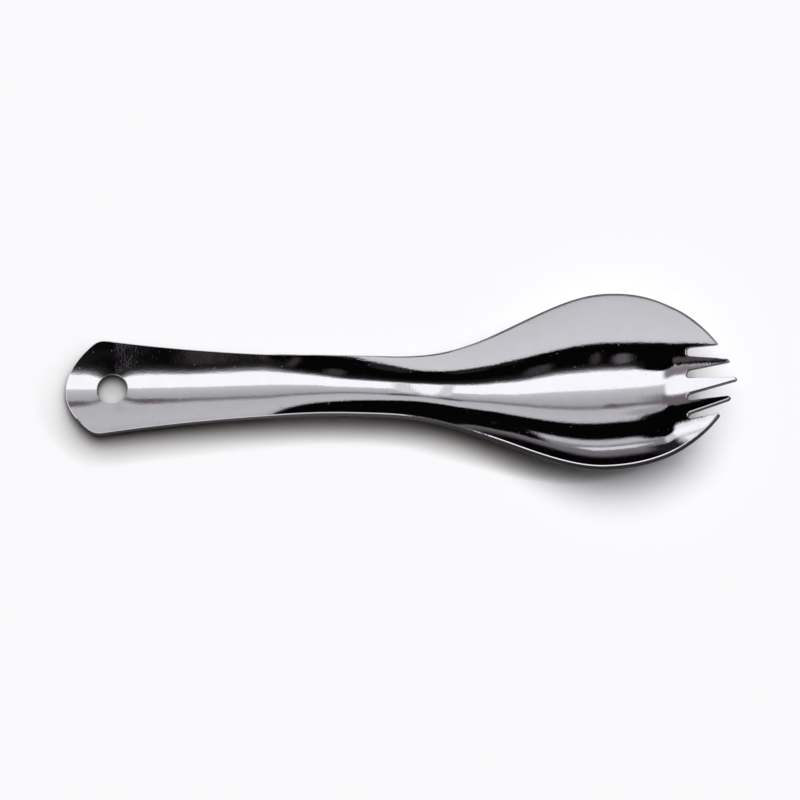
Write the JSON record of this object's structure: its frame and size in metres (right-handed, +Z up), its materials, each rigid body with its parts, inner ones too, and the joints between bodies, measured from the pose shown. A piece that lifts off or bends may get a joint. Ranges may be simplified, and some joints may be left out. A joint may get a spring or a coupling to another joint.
{
  "type": "spork",
  "caption": "Pressed stainless steel spork with a rounded bowl, short tines at its tip and a flared, troughed handle that ends in a hanging hole.",
  "frame": {"origin": "on the table, under the middle of the spork's box; the bowl's floor and the handle's end touch the table", "axes": "+X from the handle's end to the tines, +Z up out of the open side of the bowl, Y across, which the part is symmetric about"},
  "size_m": [0.1599, 0.0446, 0.0136],
  "materials": {
    "polished_steel": "bright polished stainless steel with fine pits and orange peel"
  },
  "bodies": {
    "root": {"pressed_spork": "polished_steel"}
  },
  "joints": []
}
